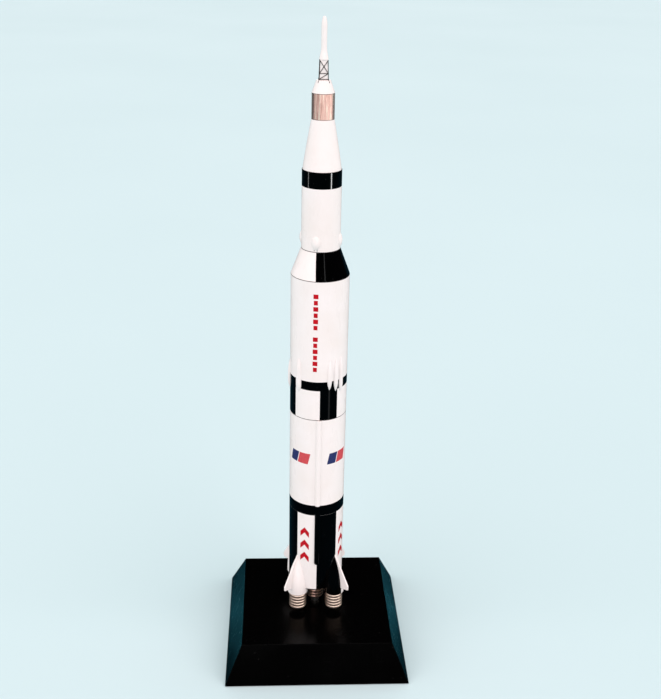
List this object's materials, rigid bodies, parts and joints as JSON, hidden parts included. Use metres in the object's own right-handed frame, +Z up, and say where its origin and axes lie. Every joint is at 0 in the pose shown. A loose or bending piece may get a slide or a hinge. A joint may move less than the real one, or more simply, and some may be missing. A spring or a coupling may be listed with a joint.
{
  "type": "model rocket",
  "caption": "Desk-display model of a tall white and black multi-stage moon rocket with engines, fins and escape tower, on a bevelled gloss black plinth.",
  "frame": {"origin": "centre of the felt's underside, on the surface that the model stands on", "axes": "+Z up along the rocket's axis, -Y to the front of the model, +X to its right as seen from the front"},
  "size_m": [0.168, 0.168, 0.5779],
  "materials": {
    "white_lacquer": "gloss white lacquer with black markings",
    "black_lacquer": "gloss black lacquer",
    "plinth_lacquer": "polished black lacquer",
    "bare_wood": "sanded, unfinished",
    "felt": "matte wool felt",
    "engine_metal": "satin, warm silver",
    "service_metal": "brushed along its height",
    "peg_steel": "satin black",
    "pin_steel": "drawn wire",
    "lattice_wire": "satin black"
  },
  "bodies": {
    "stand": {"base_felt": "felt", "base_plinth": "plinth_lacquer"},
    "peg": {"support_peg": "peg_steel"},
    "first_stage": {"first_stage_body": "white_lacquer", "tail_plate": "black_lacquer", "first_stage_spigot": "bare_wood", "engine_centre": "engine_metal", "engine_front_right": "engine_metal", "engine_rear_right": "engine_metal", "engine_rear_left": "engine_metal", "engine_front_left": "engine_metal", "engine_fairing_front_right": "white_lacquer", "engine_fairing_rear_right": "white_lacquer", "engine_fairing_rear_left": "white_lacquer", "engine_fairing_front_left": "white_lacquer", "fin_front_right": "white_lacquer", "fin_rear_right": "white_lacquer", "fin_rear_left": "white_lacquer", "fin_front_left": "white_lacquer", "conduit_front": "white_lacquer", "conduit_rear": "white_lacquer"},
    "second_stage": {"aft_interstage": "white_lacquer", "second_stage_body": "white_lacquer", "second_stage_dowel": "bare_wood", "second_stage_spigot": "bare_wood", "feed_fairing_1": "white_lacquer", "feed_fairing_2": "white_lacquer", "feed_fairing_3": "white_lacquer", "feed_fairing_4": "white_lacquer", "feed_fairing_5": "white_lacquer", "feed_fairing_6": "white_lacquer", "feed_fairing_7": "white_lacquer"},
    "interstage": {"interstage_cone": "white_lacquer", "interstage_spigot": "bare_wood"},
    "third_stage": {"third_stage_body": "white_lacquer", "control_pod_front": "white_lacquer", "control_pod_right": "white_lacquer", "control_pod_rear": "white_lacquer", "control_pod_left": "white_lacquer", "instrument_ring": "black_lacquer", "shroud_dowel": "bare_wood", "adapter_cone": "white_lacquer", "service_core": "bare_wood", "service_sleeve": "service_metal", "spacecraft_dowel": "bare_wood", "command_module": "white_lacquer", "escape_tower": "white_lacquer", "tower_pin": "pin_steel", "tower_lattice": "lattice_wire", "escape_motor": "white_lacquer", "nose_cap": "white_lacquer"}
  },
  "joints": [
    {"name": "peg_turn", "type": "hinge", "parent": "stand", "child": "peg", "pos_m": [0, 0, 0.035], "axis": [0, 0, 1], "continuous": true},
    {"name": "rocket_lift", "type": "slide", "parent": "peg", "child": "first_stage", "axis": [0, 0, 1], "range_m": [0, 0.075]},
    {"name": "second_stage_lift", "type": "slide", "parent": "first_stage", "child": "second_stage", "axis": [0, 0, 1], "range_m": [0, 0.022]},
    {"name": "interstage_lift", "type": "slide", "parent": "second_stage", "child": "interstage", "axis": [0, 0, 1], "range_m": [0, 0.015]},
    {"name": "third_stage_lift", "type": "slide", "parent": "interstage", "child": "third_stage", "axis": [0, 0, 1], "range_m": [0, 0.018]}
  ]
}
